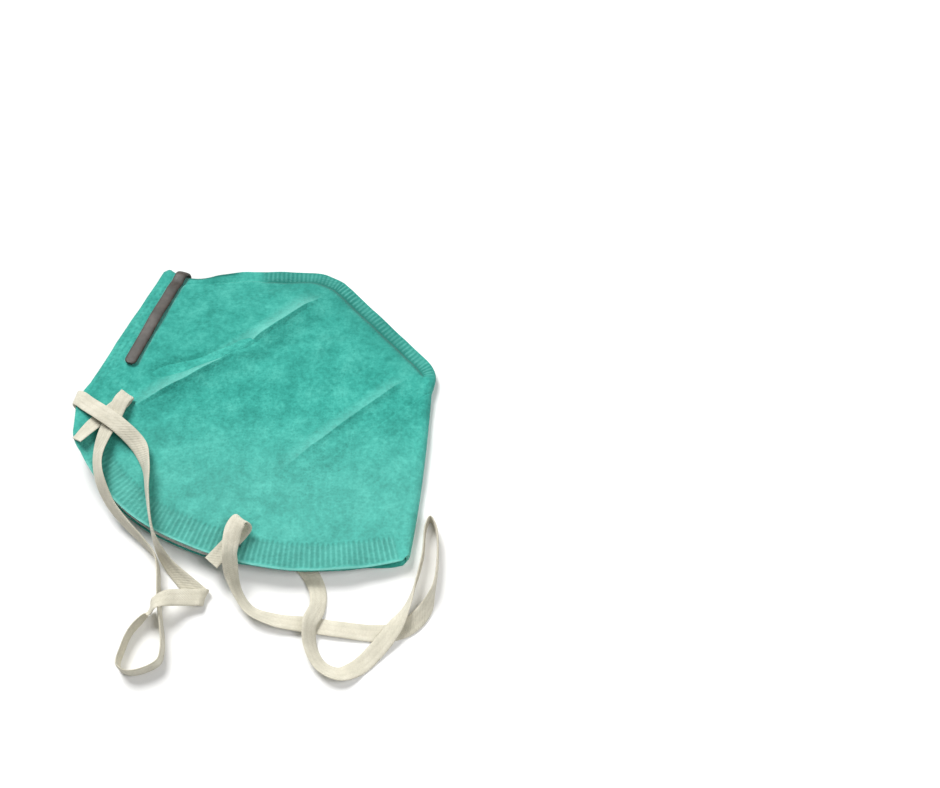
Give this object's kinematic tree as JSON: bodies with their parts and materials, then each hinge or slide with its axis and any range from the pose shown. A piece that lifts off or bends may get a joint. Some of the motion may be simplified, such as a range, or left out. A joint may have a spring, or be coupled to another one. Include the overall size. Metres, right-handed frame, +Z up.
{
  "type": "respirator mask",
  "caption": "Flat-folded cloth respirator mask with a bent nose clip and stapled elastic head straps, lying on its side. It covers the nose and mouth.",
  "frame": {"origin": "middle of the folded mask's box, on the surface that it lies on", "axes": "+Z up from the surface, +Y towards the nose end, +X towards the closed front of the fold"},
  "size_m": [0.134, 0.1633, 0.0187],
  "materials": {
    "green_cloth": "matt nonwoven cloth with a fine embossed texture",
    "white_cloth": "matt soft nonwoven cloth",
    "clip_strip": "dark grey coating with a faint sheen",
    "elastic": "woven elastic with ribs along its length",
    "staple_wire": "bare steel wire"
  },
  "bodies": {
    "root": {"outer_shell": "green_cloth", "inner_lining": "white_cloth", "nose_clip": "clip_strip", "upper_strap": "elastic", "lower_strap": "elastic", "staple_upper_top": "staple_wire", "staple_upper_under": "staple_wire", "staple_lower_top": "staple_wire", "staple_lower_under": "staple_wire"}
  },
  "joints": []
}
